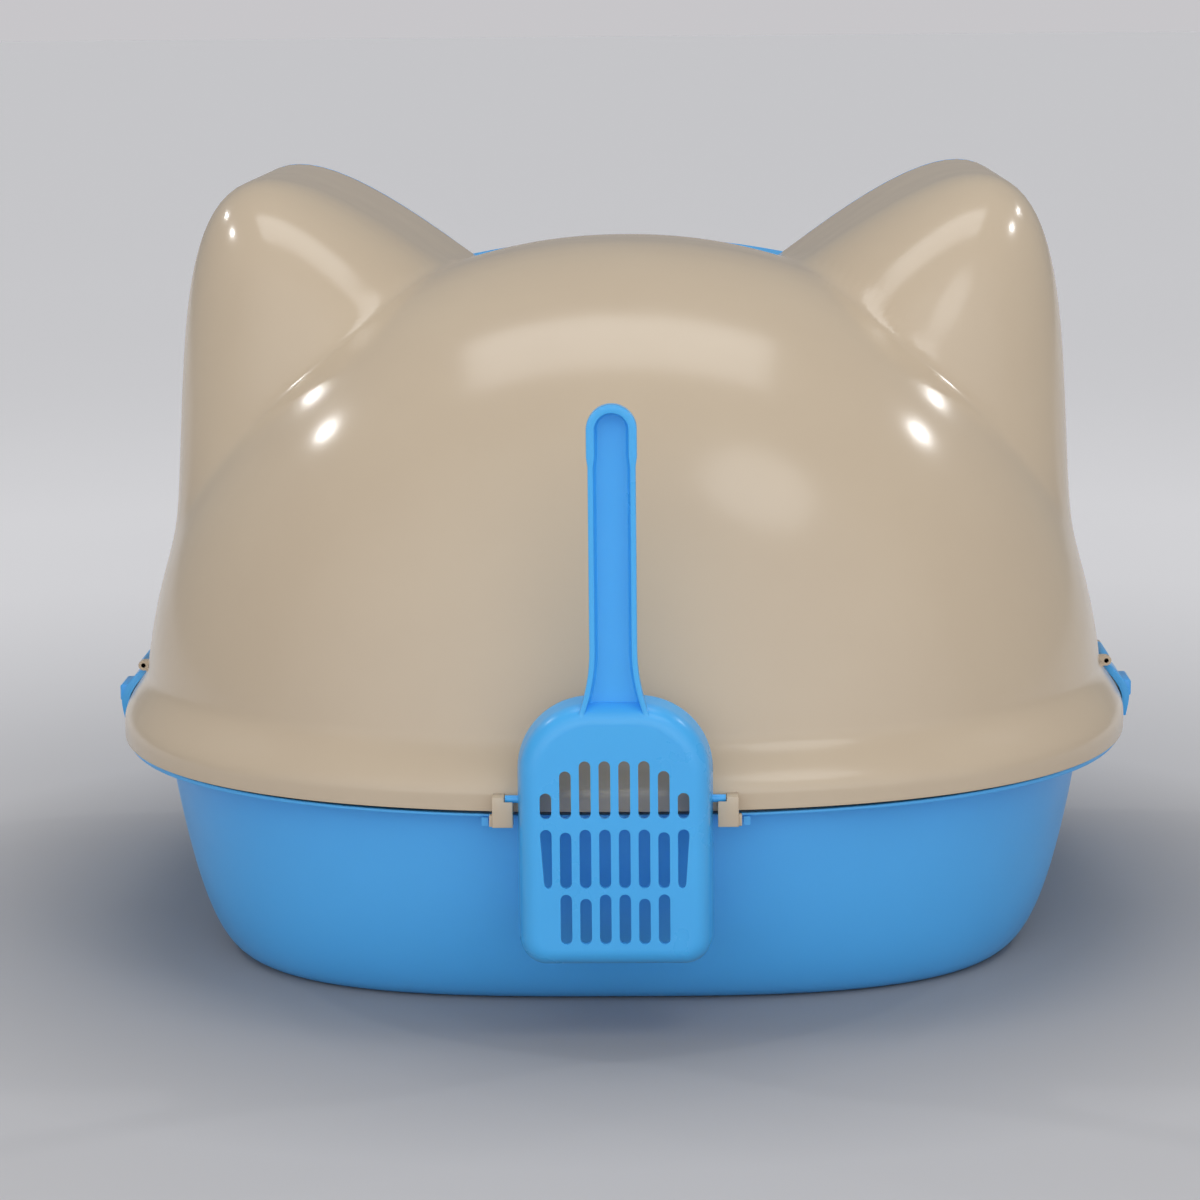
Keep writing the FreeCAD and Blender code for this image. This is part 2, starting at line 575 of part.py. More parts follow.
def make_scoop():
    face_y = SCOOP_Y + SCOOP_DEEP
    floor_y = face_y - HANDLE_DEEP
    body = blade(0, SCOOP_Y, face_y)
    body = body.cut(blade(SCOOP_WALL, SCOOP_Y - PIN_FIT, face_y - SCOOP_WALL))
    # handle: a channel open to the outside, its floor towards the hood
    foot_z = SCOOP_TOP_Z - HANDLE_ROOT
    top_round = HANDLE_HALF - PIN_FIT
    outer = rounded_rect(-HANDLE_HALF, HANDLE_HALF, foot_z, HANDLE_TOP_Z, HANDLE_FOOT_ROUND, top_round,
                         floor_y)
    inner_half = HANDLE_HALF - SCOOP_WALL
    inner = rounded_rect(-inner_half, inner_half, SCOOP_TOP_Z + HANDLE_GRIP_UP,
                         HANDLE_TOP_Z - SCOOP_WALL, HANDLE_FOOT_ROUND, top_round - SCOOP_WALL,
                         floor_y + SCOOP_WALL)
    handle = extrude(outer, V(0, HANDLE_DEEP - HANDLE_FACE_IN, 0))
    # under the blade's top the handle's foot is only a thickening of the face
    handle = handle.cut(box(-FAR, FAR, floor_y - CUT, face_y - HANDLE_BRIDGE, foot_z - CUT,
                            SCOOP_TOP_Z - SCOOP_WALL))
    scoop = body.fuse(handle).cut(extrude(inner, V(0, HANDLE_DEEP, 0)))
    peg_long = CLIP_IN + NOTCH_WIDE - PEG_GAP - SCOOP_HALF + PEG_ROOT
    for x in (SCOOP_HALF - PEG_ROOT, -SCOOP_HALF + PEG_ROOT - peg_long):
        scoop = scoop.fuse(Part.makeCylinder(PEG_R, peg_long, V(x, SCOOP_Y + PEG_Y, PEG_Z), V(1, 0, 0)))
    for low, tops in SLOT_ROWS:
        for k, top in enumerate(tops):
            for x in (-(k + 0.5) * SLOT_PITCH, (k + 0.5) * SLOT_PITCH):
                scoop = scoop.cut(slot(x, SCOOP_FOOT_Z + low, SCOOP_FOOT_Z + top))
    return scoop


parts = {
    "tray": make_tray(),
    "hood": make_hood(),
    "front_panel": make_front_panel(),
    "flap_door": make_flap(),
    "flap_rod": make_rod(),
    "scoop": make_scoop(),
}
for name, side in (("left", -1), ("right", 1)):
    parts["latch_" + name] = make_latch(side)
    parts["latch_pin_" + name] = make_latch_pin(side)
    parts["rear_clip_" + name] = make_clip(side)

os.makedirs("parts", exist_ok=True)
for name, shape in parts.items():
    shape.exportStep("parts/" + name + ".step")
    size = shape.BoundBox
    print(name, len(shape.Solids), "solid(s)", round(shape.Volume), "mm3",
          [round(v, 1) for v in (size.XMin, size.XMax, size.YMin, size.YMax, size.ZMin, size.ZMax)],
          "valid" if shape.isValid() else "NOT VALID")
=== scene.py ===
import math

import bmesh
import bpy
import numpy as np
from mathutils import Matrix, Vector


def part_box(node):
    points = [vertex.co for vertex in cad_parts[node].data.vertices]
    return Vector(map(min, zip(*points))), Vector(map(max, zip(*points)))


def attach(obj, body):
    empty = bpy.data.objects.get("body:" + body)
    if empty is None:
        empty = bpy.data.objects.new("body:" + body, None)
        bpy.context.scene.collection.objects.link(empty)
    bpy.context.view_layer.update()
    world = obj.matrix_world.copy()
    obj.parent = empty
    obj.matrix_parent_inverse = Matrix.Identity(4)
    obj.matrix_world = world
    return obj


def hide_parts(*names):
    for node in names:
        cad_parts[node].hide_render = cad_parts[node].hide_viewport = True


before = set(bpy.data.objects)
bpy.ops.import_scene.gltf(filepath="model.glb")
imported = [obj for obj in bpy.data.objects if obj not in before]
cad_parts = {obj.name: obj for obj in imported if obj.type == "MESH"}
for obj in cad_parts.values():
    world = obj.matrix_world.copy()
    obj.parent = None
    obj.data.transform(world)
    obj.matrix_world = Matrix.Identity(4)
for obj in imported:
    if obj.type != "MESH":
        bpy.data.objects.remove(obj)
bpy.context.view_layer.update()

# ---- Camera ----------------------------------------------------------------------
# The box is seen from behind, a little from above, with a long lens from under two metres.
camera_data = bpy.data.cameras.new("camera")
camera_data.lens = 108.9
camera_data.shift_x = -0.02
camera = bpy.data.objects.new("camera", camera_data)
bpy.context.collection.objects.link(camera)
camera_turn = math.radians(1.1)
camera_away = 1.873
camera_height = 0.480
camera_tilt = math.radians(9.69)
camera_roll = math.radians(-0.5)
camera.location = (-camera_away * math.sin(camera_turn), camera_away * math.cos(camera_turn), camera_height)
camera.rotation_mode = "XYZ"
camera.rotation_euler = (math.pi / 2 - camera_tilt, 0, math.pi + camera_turn)
camera.rotation_euler.rotate_axis("Z", camera_roll)
bpy.context.scene.camera = camera

# ---- Floor and studio light ----------------------------------------------------------
# A pale paper floor, with painted shade that darkens it near the box and a painted glow that lights it up
# further away.  An overhead softbox hangs over the entrance, two pairs of small flash heads stand beside
# it, and an umbrella is on the scoop's side.
floor_half = 30.0


def new_piece(name, form):
    """Turns a bmesh into an object and frees it."""
    mesh = bpy.data.meshes.new(name)
    form.to_mesh(mesh)
    form.free()
    piece = bpy.data.objects.new(name, mesh)
    bpy.context.collection.objects.link(piece)
    return piece


sweep_form = bmesh.new()
bmesh.ops.create_grid(sweep_form, x_segments=1, y_segments=1, size=floor_half)
sweep = new_piece("paper_floor", sweep_form)


def node_material(name):
    """A new node material with its tree and Principled shader, and a maker of further nodes."""
    material = bpy.data.materials.new(name)
    material.use_nodes = True
    tree = material.node_tree
    shader = tree.nodes["Principled BSDF"]

    def add(kind, **values):
        node = tree.nodes.new(kind)
        for key, value in values.items():
            node.inputs[key.replace("_", " ")].default_value = value
        return node
    return material, tree, shader, add


def uneven_gloss(parts, place, scale, low, high, detail=2.0):
    """Lets the roughness wander between low and high over the surface."""
    tree, shader, add = parts
    smear = add("ShaderNodeTexNoise", Scale=scale, Detail=detail)
    gloss = add("ShaderNodeMapRange", To_Min=low, To_Max=high)
    tree.links.new(place.outputs["Object"], smear.inputs["Vector"])
    tree.links.new(smear.outputs["Fac"], gloss.inputs["Value"])
    tree.links.new(gloss.outputs["Result"], shader.inputs["Roughness"])


paper, paper_tree, paper_shader, paper_add = node_material("grey_paper")
paper_place = paper_add("ShaderNodeTexCoord")
paper_reach_end = 5.0
paper_reach = paper_add("ShaderNodeVectorMath")
paper_reach.operation = "LENGTH"
paper_far = paper_add("ShaderNodeMapRange", From_Max=paper_reach_end)
paper_painted_shade_ramp = paper_add("ShaderNodeValToRGB")
# painted shade: the paper is coloured darkest close to the box, where its shadow falls, and lighter with
# distance
paper_painted_shade_stops = ((0.05, 0.36), (0.09, 0.62), (0.22, 0.78), (0.4, 0.85), (0.8, 0.90))
for position, tone in paper_painted_shade_stops[2:]:
    paper_painted_shade_ramp.color_ramp.elements.new(position)
for stop, (position, tone) in zip(paper_painted_shade_ramp.color_ramp.elements, paper_painted_shade_stops):
    stop.position = position
    stop.color = (tone, tone * 0.992, tone * 1.015, 1)
paper_tree.links.new(paper_place.outputs["Object"], paper_reach.inputs[0])
paper_tree.links.new(paper_reach.outputs["Value"], paper_far.inputs["Value"])
paper_tree.links.new(paper_far.outputs["Result"], paper_painted_shade_ramp.inputs["Fac"])
paper_tree.links.new(paper_painted_shade_ramp.outputs["Color"], paper_shader.inputs["Base Color"])
uneven_gloss((paper_tree, paper_shader, paper_add), paper_place, 3.0, 0.62, 0.74)
paper_shader.inputs["Specular IOR Level"].default_value = 0.1
# painted glow: the paper gives off light of its own further from the box, standing in for lamp light
paper_painted_glow = paper_add("ShaderNodeMapRange", From_Min=0.07, From_Max=0.3, To_Max=0.14)
paper_shader.inputs["Emission Color"].default_value = (1, 0.99, 1, 1)
paper_tree.links.new(paper_far.outputs["Result"], paper_painted_glow.inputs["Value"])
paper_tree.links.new(paper_painted_glow.outputs["Result"], paper_shader.inputs["Emission Strength"])
sweep.data.materials.append(paper)


def lamp_at(name, place, aim, wide, deep, glow, shape="RECTANGLE", colour=(1, 1, 1)):
    """A flat lamp of a given brightness: its power is the brightness times pi times its area."""
    lamp = bpy.data.lights.new(name, "AREA")
    lamp.shape = shape
    lamp.size = wide
    lamp.size_y = deep
    lamp.energy = glow * math.pi * wide * deep
    lamp.color = colour
    holder = bpy.data.objects.new(name, lamp)
    bpy.context.collection.objects.link(holder)
    holder.location = place
    holder.rotation_euler = (Vector(aim) - Vector(place)).to_track_quat("-Z", "Y").to_euler()


lamp_at("overhead_softbox", (0.03, -0.30, 1.90), (0.03, -0.30, 0), 1.35, 0.65, 2.3)
lamp_at("umbrella", (-0.62, 0.85, 1.60), (-0.07, 0.17, 0.24), 0.62, 0.62, 1.6, "ELLIPSE")
for side in (1, -1):
    lamp_at("flash_near", (1.22 * side, -0.48, 1.31), (0, 0, 0.2), 0.055, 0.055, 200)
    lamp_at("flash_far", (1.06 * side, -0.96, 1.08), (0, 0, 0.2), 0.04, 0.04, 150)

world = bpy.data.worlds.new("studio")
bpy.context.scene.world = world
world.use_nodes = True
room_tree = world.node_tree
room_light = room_tree.nodes["Background"]
room_light.inputs["Color"].default_value = (0.97, 0.98, 1.0, 1)
room_way = room_tree.nodes.new("ShaderNodeTexCoord")
room_apart = room_tree.nodes.new("ShaderNodeSeparateXYZ")
room_front = room_tree.nodes.new("ShaderNodeMapRange")
room_front.inputs["From Min"].default_value = 0.15
room_front.inputs["To Min"].default_value = 0.26
room_front.inputs["To Max"].default_value = 1.65
room_tree.links.new(room_way.outputs["Generated"], room_apart.inputs["Vector"])
room_tree.links.new(room_apart.outputs["Y"], room_front.inputs["Value"])
room_tree.links.new(room_front.outputs["Result"], room_light.inputs["Strength"])
room_seen = room_tree.nodes.new("ShaderNodeBackground")
room_seen.inputs["Color"].default_value = (0.575, 0.565, 0.585, 1)
room_ray = room_tree.nodes.new("ShaderNodeLightPath")
room_mix = room_tree.nodes.new("ShaderNodeMixShader")
room_end = room_tree.nodes["World Output"]
room_tree.links.new(room_ray.outputs["Is Camera Ray"], room_mix.inputs["Fac"])
room_tree.links.new(room_light.outputs["Background"], room_mix.inputs[1])
room_tree.links.new(room_seen.outputs["Background"], room_mix.inputs[2])
room_tree.links.new(room_mix.outputs["Shader"], room_end.inputs["Surface"])
bpy.context.scene.view_settings.view_transform = "Standard"

# ---- Tray --------------------------------------------------------------------------
# A sky-blue polypropylene pan, injection moulded in one shot: a flat foot, a bowl-like
# wall that opens upwards and an outward rim that the hood stands on.


def moulded_plastic(name, dark, light, rough, grain, scatter=0.0):
    """Coloured polypropylene: faint flow marks in the colour, uneven gloss, fine skin."""
    material, tree, shader, add = node_material(name)
    place = add("ShaderNodeTexCoord")
    flow = add("ShaderNodeTexNoise", Scale=9.0, Detail=4.0)
    tone = add("ShaderNodeValToRGB")
    tone.color_ramp.elements[0].position = 0.3
    tone.color_ramp.elements[1].position = 0.7
    tone.color_ramp.elements[0].color = (*dark, 1)
    tone.color_ramp.elements[1].color = (*light, 1)
    skin = add("ShaderNodeTexNoise", Scale=55.0, Detail=2.0)
    bump = add("ShaderNodeBump", Strength=grain, Distance=0.002)
    for texture in (flow, skin):
        tree.links.new(place.outputs["Object"], texture.inputs["Vector"])
    tree.links.new(flow.outputs["Fac"], tone.inputs["Fac"])
    tree.links.new(tone.outputs["Color"], shader.inputs["Base Color"])
    uneven_gloss((tree, shader, add), place, 26.0, rough * 0.8, rough * 1.25, 6.0)
    tree.links.new(skin.outputs["Fac"], bump.inputs["Height"])
    tree.links.new(bump.outputs["Normal"], shader.inputs["Normal"])
    if scatter:
        shader.inputs["Subsurface Weight"].default_value = scatter
        shader.inputs["Subsurface Radius"].default_value = (0.004, 0.004, 0.004)
    return material


tray_blue = moulded_plastic("tray_blue", (0.085, 0.45, 0.93), (0.095, 0.48, 0.985), 0.34, 0.03, 0.05)

tray_low, tray_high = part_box("tray")
tray_wall = 0.003
tray_under = tray_high[2] - tray_wall


def node_group(name, inputs):
    """An empty geometry tree with a mesh output and named number inputs."""
    group = bpy.data.node_groups.new(name, "GeometryNodeTree")
    group.interface.new_socket("Geometry", in_out="OUTPUT", socket_type="NodeSocketGeometry")
    for label in inputs:
        group.interface.new_socket(label, in_out="INPUT", socket_type="NodeSocketFloat")
    source = group.nodes.new("NodeGroupInput")
    return group, source


def sum_maker(group):
    """Returns a function that adds one Math node and gives its result."""
    def work(operation, *terms):
        node = group.nodes.new("ShaderNodeMath")
        node.operation = operation
        for socket, term in zip(node.inputs, terms):
            if isinstance(term, (int, float)):
                socket.default_value = term
            else:
                group.links.new(term, socket)
        return node.outputs[0]
    return work


def stretch(group, value, low, high):
    """The share of the way from low to high, held between 0 and 1."""
    node = group.nodes.new("ShaderNodeMapRange")
    group.links.new(value, node.inputs["Value"])
    node.inputs["From Min"].default_value = low
    node.inputs["From Max"].default_value = high
    return node.outputs["Result"]


def bake_tree(name, group, values, material):
    """Runs a geometry tree on an empty mesh and gives its result as a plain mesh object."""
    carrier = bpy.data.objects.new(name + "_carrier", bpy.data.meshes.new(name + "_carrier"))
    bpy.context.collection.objects.link(carrier)
    modifier = carrier.modifiers.new(name, "NODES")
    modifier.node_group = group
    for item in group.interface.items_tree:
        if item.in_out == "INPUT" and item.name in values:
            modifier[item.identifier] = values[item.name]
    view = bpy.context.evaluated_depsgraph_get()
    mesh = bpy.data.meshes.new_from_object(carrier.evaluated_get(view))
    bpy.data.objects.remove(carrier)
    piece = bpy.data.objects.new(name, mesh)
    bpy.context.collection.objects.link(piece)
    if not mesh.materials:
        mesh.materials.append(material)
    return piece


tray_sizes = {
    "Foot half": 0.195, "Foot back": 0.187, "Foot front": 0.176,
    "Wall half": 0.236, "Wall back": 0.232, "Wall front": 0.214,
    "Rim half": tray_high[0], "Rim back": tray_high[1], "Rim front": -tray_low[1],
    "Height": tray_under, "Bulge": 0.42,
}
tray_tree, tray_in = node_group("tray_skin", tray_sizes)
tray_sum = sum_maker(tray_tree)
tray_grid = tray_tree.nodes.new("GeometryNodeMeshGrid")
tray_grid.inputs["Vertices X"].default_value = 193
tray_grid.inputs["Vertices Y"].default_value = 72
tray_spot = tray_tree.nodes.new("GeometryNodeInputPosition")
tray_apart = tray_tree.nodes.new("ShaderNodeSeparateXYZ")
tray_tree.links.new(tray_spot.outputs["Position"], tray_apart.inputs["Vector"])
tray_angle = tray_sum("MULTIPLY", tray_sum("ADD", tray_apart.outputs["X"], 0.5), 2 * math.pi)
tray_along = tray_sum("ADD", tray_apart.outputs["Y"], 0.5)
# along the section: the floor, then the wall, then the rim
tray_floor_share = stretch(tray_tree, tray_along, 0.0, 0.2)
tray_wall_share = stretch(tray_tree, tray_along, 0.2, 0.9)
tray_rim_share = stretch(tray_tree, tray_along, 0.9, 1.0)
tray_rise = tray_sum("POWER", tray_wall_share, 2.2)
tray_open = tray_sum("POWER", tray_rise, tray_in.outputs["Bulge"])


def tray_reach(side):
    """How far the skin reaches on one side at this place on the section."""
    foot, wall, rim = (tray_in.outputs[part + side] for part in ("Foot ", "Wall ", "Rim "))
    reach = tray_sum("ADD", foot, tray_sum("MULTIPLY", tray_open, tray_sum("SUBTRACT", wall, foot)))
    return tray_sum("ADD", reach,
                    tray_sum("MULTIPLY", tray_rim_share, tray_sum("SUBTRACT", rim, wall)))


tray_cos = tray_sum("COSINE", tray_angle)
tray_sin = tray_sum("SINE", tray_angle)
tray_is_back = tray_sum("GREATER_THAN", tray_sin, 0.0)
tray_back_square = tray_sum("SUBTRACT", 3.2, tray_sum("MULTIPLY", tray_open, 0.8))
tray_square = tray_sum("ADD", 6.0, tray_sum("MULTIPLY", tray_is_back,
                                            tray_sum("SUBTRACT", tray_back_square, 6.0)))
tray_front = tray_reach("front")
tray_depth = tray_sum("ADD", tray_front, tray_sum("MULTIPLY", tray_is_back,
                                                  tray_sum("SUBTRACT", tray_reach("back"), tray_front)))
tray_across = tray_sum("POWER", tray_sum("DIVIDE", tray_sum("ABSOLUTE", tray_cos), tray_reach("half")),
                       tray_square)
tray_deep = tray_sum("POWER", tray_sum("DIVIDE", tray_sum("ABSOLUTE", tray_sin), tray_depth), tray_square)
tray_radius = tray_sum("POWER", tray_sum("ADD", tray_across, tray_deep),
                       tray_sum("DIVIDE", -1.0, tray_square))
tray_radius = tray_sum("MULTIPLY", tray_radius, tray_floor_share)
tray_place = tray_tree.nodes.new("ShaderNodeCombineXYZ")
tray_tree.links.new(tray_sum("MULTIPLY", tray_radius, tray_cos), tray_place.inputs["X"])
tray_tree.links.new(tray_sum("MULTIPLY", tray_radius, tray_sin), tray_place.inputs["Y"])
tray_tree.links.new(tray_sum("MULTIPLY", tray_rise, tray_in.outputs["Height"]), tray_place.inputs["Z"])


def finish_tree(group, mesh_socket, material):
    """Ends a tree with merged seams, real instances, smooth faces and its material."""
    merge = group.nodes.new("GeometryNodeMergeByDistance")
    merge.inputs["Distance"].default_value = 0.00002
    real = group.nodes.new("GeometryNodeRealizeInstances")
    smooth = group.nodes.new("GeometryNodeSetShadeSmooth")
    paint = group.nodes.new("GeometryNodeSetMaterial")
    paint.inputs["Material"].default_value = material
    end = group.nodes.new("NodeGroupOutput")
    steps = (merge, real, smooth, paint, end)
    group.links.new(mesh_socket, merge.inputs["Geometry"])
    for first, second in zip(steps, steps[1:]):
        group.links.new(first.outputs["Geometry"], second.inputs["Geometry"])


tray_move = tray_tree.nodes.new("GeometryNodeSetPosition")
tray_tree.links.new(tray_grid.outputs["Mesh"], tray_move.inputs["Geometry"])
tray_tree.links.new(tray_place.outputs["Vector"], tray_move.inputs["Position"])
finish_tree(tray_tree, tray_move.outputs["Geometry"], tray_blue)
tray = bake_tree("tray_pan", tray_tree, tray_sizes, tray_blue)


def face_outwards(piece, probe, outward):
    """Turns an open skin so that the face nearest to probe looks along outward."""
    form = bmesh.new()
    form.from_mesh(piece.data)
    bmesh.ops.remove_doubles(form, verts=form.verts, dist=0.00002)
    bmesh.ops.recalc_face_normals(form, faces=form.faces)
    nearest = min(form.faces, key=lambda f: (f.calc_center_median() - Vector(probe)).length)
    if nearest.normal.dot(Vector(outward)) < 0:
        bmesh.ops.reverse_faces(form, faces=form.faces)
    form.to_mesh(piece.data)
    form.free()


def apply_all(piece):
    """Turns the piece's modifiers into plain mesh."""
    view = bpy.context.evaluated_depsgraph_get()
    mesh = bpy.data.meshes.new_from_object(piece.evaluated_get(view))
    piece.modifiers.clear()
    piece.data = mesh


def wall_up(piece, thickness, edge):
    """Gives a skin its wall on the inner side and rounds the wall's free edges."""
    solid = piece.modifiers.new("wall", "SOLIDIFY")
    solid.thickness = thickness
    solid.offset = -1
    solid.use_even_offset = True
    solid.thickness_clamp = 1.0
    soft = piece.modifiers.new("edge", "BEVEL")
    soft.width = edge
    soft.segments = 3
    soft.limit_method = "ANGLE"
    soft.angle_limit = math.radians(50)
    apply_all(piece)
    piece.data.shade_smooth()


face_outwards(tray, (0, 0, 0), (0, 0, -1))
wall_up(tray, tray_wall, 0.0006)

# two short ribs hang under the rim at the back, outside the hood's clips
rib_near, rib_far, rib_half, rib_middle_y, rib_tall = 0.059, 0.062, 0.005, 0.235, 0.004
rib_form = bmesh.new()
rib_form.from_mesh(tray.data)
rib_form.faces.ensure_lookup_table()
tray_slot = rib_form.faces[0].material_index
for side in (1, -1):
    middle = (side * (rib_near + rib_far) / 2, rib_middle_y, tray_under - rib_tall / 2)
    shape = Matrix.Translation(middle) @ Matrix.Diagonal((rib_far - rib_near, 2 * rib_half, rib_tall, 1))
    corners = bmesh.ops.create_cube(rib_form, size=1.0, matrix=shape)["verts"]
    for face in {face for corner in corners for face in corner.link_faces}:
        face.material_index = tray_slot
rib_form.to_mesh(tray.data)
rib_form.free()
tray.data.set_sharp_from_angle(angle=math.radians(60))
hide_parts("tray")
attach(tray, "base")

# ---- Hood --------------------------------------------------------------------------
# The cat's head: one glossy cream shell, deep drawn in the mould as a dome with two ears,
# with a shoulder that flares out to the skirt.  It is open at the front and at the bottom.
hood_low, hood_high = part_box("hood")
hood_z = hood_low[2]
hood_wall = 0.003
dome_half, dome_height, dome_back, dome_taper, dome_square = 0.247, 0.245, 0.228, 0.580, 2.1
plan_back_square, plan_front_square = 2.4, 6.0
face_y = -0.205
skirt_half, skirt_back, skirt_front = hood_high[0], 0.244, 0.228
skirt_tall, shoulder_tall = 0.007, 0.025
ear_half, ear_top, ear_slope_off, ear_slope, ear_round = 0.231, 0.296, 0.1165, math.radians(40), 7.0
ear_start, ear_reach, ear_square, ear_lean, ear_lean_r, ear_lean_z = -0.040, 0.147, 2.4, 0.5, 0.240, 0.165
crease_round = 0.005


def power_radius(angle, half, tall, square):
    across = np.abs(np.cos(angle)) / half
    along = np.abs(np.sin(angle)) / tall
    return (across ** square + along ** square) ** (-1 / square)


def dome_radius(angle, y):
    behind = y >= 0
    t = np.clip(np.where(behind, y / dome_back, -y / dome_taper), 0, 1)
    square = np.where(behind, plan_back_square, 2.0)
    half = dome_half * np.maximum(1 - t ** square, 1e-12) ** (1 / square)
    tall = dome_height * np.sqrt(np.maximum(1 - t * t, 1e-12))
    return power_radius(angle, half, tall, dome_square)


def ear_radius(angle, y):
    """Both ears at once: the angle is folded onto the right-hand one."""
    a = np.where(angle > math.pi / 2, math.pi - angle, angle)
    sides = (np.cos(a) / ear_half, np.sin(a - ear_slope) / ear_slope_off, np.sin(a) / ear_top)
    r = sum(np.maximum(side, 1e-6) ** ear_round for side in sides) ** (-1 / ear_round)
    back = y + ear_lean * (ear_lean_r * np.sin(a) - ear_lean_z)
    t = np.clip((back - ear_start) / ear_reach, 0, 1)
    return r * np.maximum(1 - t ** ear_square, 1e-9) ** (1 / ear_square)


def head_radius(angle, y):
    dome, ears = dome_radius(angle, y), ear_radius(angle, y)
    gap = np.sqrt((dome - ears) ** 2 + crease_round ** 2)
    round_up = (gap - np.abs(dome - ears)) * np.clip(dome / 0.1, 0, 1)
    return np.maximum(dome, ears) + round_up / 2


def shoulder(rise):
    t = np.clip((rise - skirt_tall) / shoulder_tall, 0, 1)
    return 1 - t * t * (3 - 2 * t)


def skirt_radius(angle):
    back = power_radius(angle, skirt_half, skirt_back, plan_back_square)
    front = power_radius(angle, skirt_half, skirt_front, plan_front_square)
    return np.where(np.sin(angle) >= 0, back, front)


def flare(x, y, rise):
    """Moves points of the head out to the skirt, by how low they are."""
    angle = np.arctan2(y, x)
    reach = np.hypot(x, y)
    out = reach + shoulder(rise) * (skirt_radius(angle) - reach)
    return out * np.cos(angle), out * np.sin(angle)


low_angles = np.linspace(0, math.radians(9), 14)
middle_angles = np.linspace(math.radians(9), math.radians(171), 181)[1:-1]
angles = np.concatenate([low_angles, middle_angles, math.pi - low_angles[::-1]])
shares = np.concatenate([np.arange(0.006, 0.2, 0.01), np.arange(0.2, 0.89, 0.02)])
stations = np.concatenate([dome_back * np.sqrt(1 - shares ** 2), np.arange(0.1015, -0.06, -0.0025),
                           np.linspace(-0.0625, face_y, 26)])
angle_grid, y_grid = np.meshgrid(angles, stations)
radius = head_radius(angle_grid, y_grid)
rise_grid = radius * np.sin(angle_grid)
head_x, head_y = flare(radius * np.cos(angle_grid), y_grid, rise_grid)
head_points = np.stack([head_x, head_y, rise_grid + hood_z], axis=-1)

hood_form = bmesh.new()
head_verts = [[hood_form.verts.new(p) for p in row] for row in head_points]
for row, following in zip(head_verts, head_verts[1:]):
    for k in range(len(row) - 1):
        hood_form.faces.new((row[k], row[k + 1], following[k + 1], following[k]))
pole = hood_form.verts.new((0, skirt_back, hood_z))
for k in range(len(angles) - 1):
    hood_form.faces.new((pole, head_verts[0][k + 1], head_verts[0][k]))

# the skirt and shoulder run on round the front, below the open face
front_reach = radius[-1] * np.cos(angles)
front_rise = rise_grid[-1]
sill_rows = int(np.argmax(front_rise > skirt_tall + shoulder_tall)) + 1
front_steps = 97
front_rows = []
for k in range(sill_rows):
    start = math.atan2(face_y, front_reach[k])
    turn = np.linspace(start, -math.pi - start, front_steps)
    flat = face_y / np.sin(turn)
    x, y = flare(flat * np.cos(turn), flat * np.sin(turn), np.full(front_steps, front_rise[k]))
    front_rows.append([hood_form.verts.new((a, b, front_rise[k] + hood_z)) for a, b in zip(x, y)])
for row, following in zip(front_rows, front_rows[1:]):
    for k in range(front_steps - 1):
        hood_form.faces.new((row[k], row[k + 1], following[k + 1], following[k]))
hood = new_piece("hood_shell", hood_form)
hood_cream = moulded_plastic("hood_cream", (0.595, 0.48, 0.35), (0.625, 0.51, 0.372), 0.17, 0.015, 0.05)
hood.data.materials.append(hood_cream)
face_outwards(hood, (0, 0, hood_z + dome_height), (0, 0, 1))
wall_up(hood, hood_wall, 0.0008)

# a rounded ear each side of both latches carries the latch's pin
pin_low, pin_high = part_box("latch_pin_right")
latch_end_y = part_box("latch_right")[1][1]
pin_x, pin_z = (pin_low[0] + pin_high[0]) / 2, (pin_low[2] + pin_high[2]) / 2
holder_radius, holder_root, holder_gap = 0.0026, 0.0065, 0.0004
holder_form = bmesh.new()
holder_form.from_mesh(hood.data)
for side in (1, -1):
    for end in (1, -1):
        outline = [(pin_x - holder_root, pin_z - holder_radius)]
        for k in range(13):
            a = math.pi * (k / 12 - 0.5)
            outline.append((pin_x + holder_radius * math.cos(a), pin_z + holder_radius * math.sin(a)))
        outline.append((pin_x - holder_root, pin_z + holder_radius))
        near, far = end * (latch_end_y + holder_gap), end * pin_high[1]
        sheets = [[holder_form.verts.new((side * x, y, z)) for x, z in outline] for y in (near, far)]
        caps = [holder_form.faces.new(sheet) for sheet in sheets]
        for k in range(len(outline)):
            after = (k + 1) % len(outline)
            caps.append(holder_form.faces.new((sheets[0][k], sheets[0][after], sheets[1][after],
                                               sheets[1][k])))
        bmesh.ops.recalc_face_normals(holder_form, faces=caps)
holder_form.to_mesh(hood.data)
holder_form.free()
hood.data.set_sharp_from_angle(angle=math.radians(60))
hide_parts("hood")
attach(hood, "hood")

# ---- Rear clips ---------------------------------------------------------------------
# Two small cream blocks on the back of the skirt, either side of the scoop, that drop
# over the rim.  Each has a notch in its inner top edge where the scoop's peg rests.


def soften(node, piece_name, material, width, flat=3.0):
    """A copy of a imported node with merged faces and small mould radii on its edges."""
    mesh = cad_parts[node].data.copy()
    piece = bpy.data.objects.new(piece_name, mesh)
    bpy.context.collection.objects.link(piece)
    form = bmesh.new()
    form.from_mesh(mesh)
    bmesh.ops.remove_doubles(form, verts=form.verts, dist=0.00001)
    bmesh.ops.dissolve_limit(form, angle_limit=math.radians(flat), verts=form.verts, edges=form.edges)
    form.to_mesh(mesh)
    form.free()
    soft = piece.modifiers.new("radius", "BEVEL")
    soft.width = width
    soft.segments = 2
    soft.limit_method = "ANGLE"
    soft.angle_limit = math.radians(35)
    apply_all(piece)
    piece.data.materials.clear()
    piece.data.materials.append(material)
    piece.data.shade_smooth()
    piece.data.set_sharp_from_angle(angle=math.radians(40))
    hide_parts(node)
    return piece


for side in ("left", "right"):
    clip = soften("rear_clip_" + side, "rim_clip_" + side, hood_cream, 0.0005)
    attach(clip, "hood")

